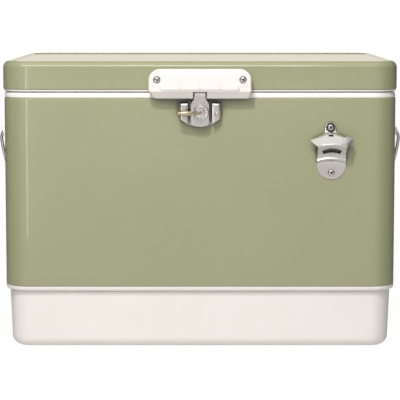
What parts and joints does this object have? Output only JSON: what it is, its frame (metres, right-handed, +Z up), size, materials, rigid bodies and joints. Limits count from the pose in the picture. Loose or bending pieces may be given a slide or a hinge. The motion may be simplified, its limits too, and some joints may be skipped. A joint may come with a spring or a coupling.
{
  "type": "cooler chest",
  "caption": "Retro steel-belted picnic cooler chest with hinged lid, front lift grip with turn-lock hasp, wall bottle opener, swing side handles and screw-cap drain.",
  "frame": {"origin": "on the floor, under the centre of the body's footprint", "axes": "+Z up, the front with the grip and hasp faces -Y, +X to the right seen from the front"},
  "size_m": [0.6338, 0.4343, 0.435],
  "materials": {
    "green_paint": "gloss",
    "white_plastic": "satin",
    "foam": "matte",
    "stainless": "satin",
    "polished_steel": "polished",
    "warm_bronze": "satin",
    "grey_rubber": "matte"
  },
  "bodies": {
    "chest": {"base_tub": "white_plastic", "body_belt": "green_paint", "body_liner": "white_plastic", "body_foam": "foam", "catch_plate": "stainless", "catch_rivets": "stainless", "bottle_opener": "polished_steel", "opener_screws": "stainless", "handle_plate_left": "stainless", "handle_plate_right": "stainless", "handle_screws_left": "stainless", "handle_screws_right": "stainless", "hinge_leaf_body_left": "stainless", "hinge_leaf_body_right": "stainless", "hinge_pin_left": "stainless", "hinge_pin_right": "stainless", "hinge_screws_body": "stainless", "drain_spout": "white_plastic", "drain_washer": "grey_rubber"},
    "lid": {"lid_skin": "green_paint", "lid_foam": "foam", "lid_liner": "white_plastic", "lid_gasket": "grey_rubber", "hinge_leaf_lid_left": "stainless", "hinge_leaf_lid_right": "stainless", "hinge_screws_lid": "stainless", "front_grip": "white_plastic", "grip_screws": "stainless", "hasp_pin": "stainless"},
    "hasp": {"hasp_strap": "stainless", "lock_washer": "stainless"},
    "turn_lock": {"lock_disc": "stainless", "lock_lever": "warm_bronze", "lock_cam": "stainless"},
    "handle_left": {"bail_left": "polished_steel"},
    "handle_right": {"bail_right": "polished_steel"},
    "seal_carrier": {"drain_seal": "grey_rubber"},
    "cap": {"drain_cap": "white_plastic"}
  },
  "joints": [
    {"name": "lid_hinge", "type": "hinge", "parent": "chest", "child": "lid", "pos_m": [0, 0.2075, 0.391], "axis": [-1, 0, 0], "range_deg": [0, 100]},
    {"name": "hasp_hinge", "type": "hinge", "parent": "lid", "child": "hasp", "pos_m": [0, -0.209, 0.3846], "axis": [-1, 0, 0], "range_deg": [0, 88]},
    {"name": "lock_turn", "type": "hinge", "parent": "hasp", "child": "turn_lock", "pos_m": [0.0015, -0.212, 0.3585], "axis": [0, -1, 0], "range_deg": [0, 90]},
    {"name": "handle_left_swing", "type": "hinge", "parent": "chest", "child": "handle_left", "pos_m": [-0.3035, 0, 0.321], "axis": [0, 1, 0], "range_deg": [0, 105]},
    {"name": "handle_right_swing", "type": "hinge", "parent": "chest", "child": "handle_right", "pos_m": [0.3035, 0, 0.321], "axis": [0, -1, 0], "range_deg": [0, 105]},
    {"name": "cap_travel", "type": "slide", "parent": "chest", "child": "seal_carrier", "axis": [1, 0, 0], "range_m": [0, 0.012]},
    {"name": "cap_turn", "type": "hinge", "parent": "seal_carrier", "child": "cap", "pos_m": [0.3065, 0.09, 0.062], "axis": [1, 0, 0], "range_deg": [0, 1440]}
  ],
  "couplings": [
    {"joint": "cap_travel", "follows": "cap_turn", "m_per_rad": 0.00047746}
  ]
}
